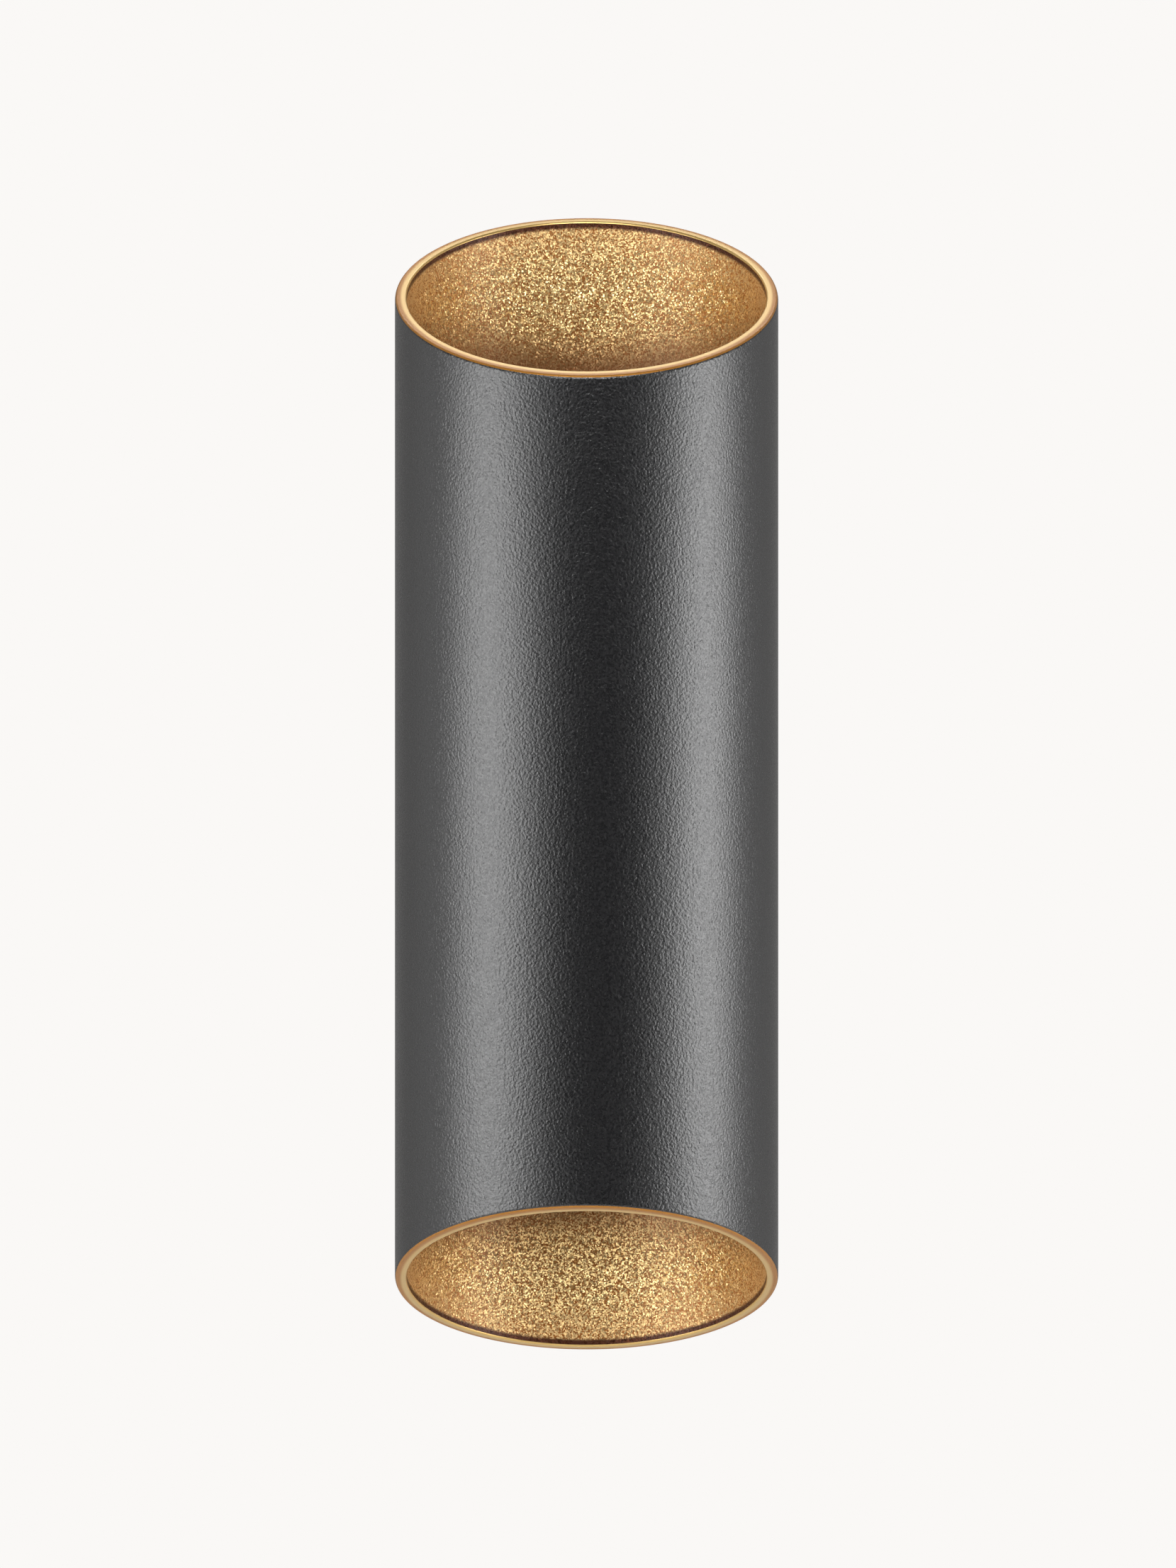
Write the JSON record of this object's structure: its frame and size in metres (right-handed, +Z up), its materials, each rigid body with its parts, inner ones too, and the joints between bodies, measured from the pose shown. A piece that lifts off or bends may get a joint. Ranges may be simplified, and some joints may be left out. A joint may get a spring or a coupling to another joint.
{
  "type": "outdoor wall lamp",
  "caption": "Up-and-down wall lamp: black tube with slanted ends and a gold inside, on a small wall box, with twist-lock lamps inside.",
  "frame": {"origin": "middle of the bracket's back face, on the wall, level with the middle of the tube", "axes": "+Y into the wall, -Y out into the room, +Z up along the tube, +X to the right as seen from the room"},
  "size_m": [0.1, 0.13, 0.32],
  "materials": {
    "black_coat": "satin",
    "box_coat": "satin",
    "gold_paint": "satin",
    "black_rubber": "matte",
    "zinc_steel": "satin",
    "stainless": "satin",
    "brass": "satin",
    "ceramic": "satin",
    "lamp_white": "satin",
    "lamp_lens": "gloss",
    "clear_glass": "gloss",
    "terminal_white": "satin",
    "earth_green": "satin",
    "live_brown": "satin",
    "neutral_blue": "satin"
  },
  "bodies": {
    "root": {"housing_tube": "black_coat", "wall_box": "box_coat", "saddle_pad": "black_rubber", "wall_seal": "black_rubber", "wall_bracket": "zinc_steel", "side_screws": "stainless", "saddle_bolts": "stainless", "cable_grommet": "black_rubber", "chassis": "zinc_steel", "pillars": "brass", "pillar_screws": "stainless", "chassis_screws": "stainless", "upper_lamp_holder": "ceramic", "lower_lamp_holder": "ceramic", "upper_contacts": "brass", "lower_contacts": "brass", "holder_screws": "stainless", "holder_nuts": "stainless", "upper_cover": "gold_paint", "upper_seal_ring": "black_rubber", "upper_glass_seal": "black_rubber", "upper_glass": "clear_glass", "upper_clamp_ring": "gold_paint", "upper_ring_screws": "stainless", "lower_cover": "gold_paint", "lower_seal_ring": "black_rubber", "lower_glass_seal": "black_rubber", "lower_glass": "clear_glass", "lower_clamp_ring": "gold_paint", "lower_ring_screws": "stainless", "terminal_block": "terminal_white", "terminal_clamps": "brass", "terminal_screws": "stainless", "terminal_fixings": "stainless", "earth_screw": "brass", "earth_tag": "zinc_steel", "earth_wire": "earth_green", "upper_live_wire": "live_brown", "upper_neutral_wire": "neutral_blue", "lower_live_wire": "live_brown", "lower_neutral_wire": "neutral_blue"},
    "upper_lamp": {"upper_lamp_body": "lamp_white", "upper_lamp_lens": "lamp_lens", "upper_lamp_pins": "brass"},
    "lower_lamp": {"lower_lamp_body": "lamp_white", "lower_lamp_lens": "lamp_lens", "lower_lamp_pins": "brass"}
  },
  "joints": [
    {"name": "upper_lamp_twist", "type": "hinge", "parent": "root", "child": "upper_lamp", "pos_m": [0, -0.08, 0.0322], "axis": [0, 0, 1], "range_deg": [0, 45]},
    {"name": "lower_lamp_twist", "type": "hinge", "parent": "root", "child": "lower_lamp", "pos_m": [0, -0.08, -0.0322], "axis": [0, 0, -1], "range_deg": [0, 45]}
  ]
}
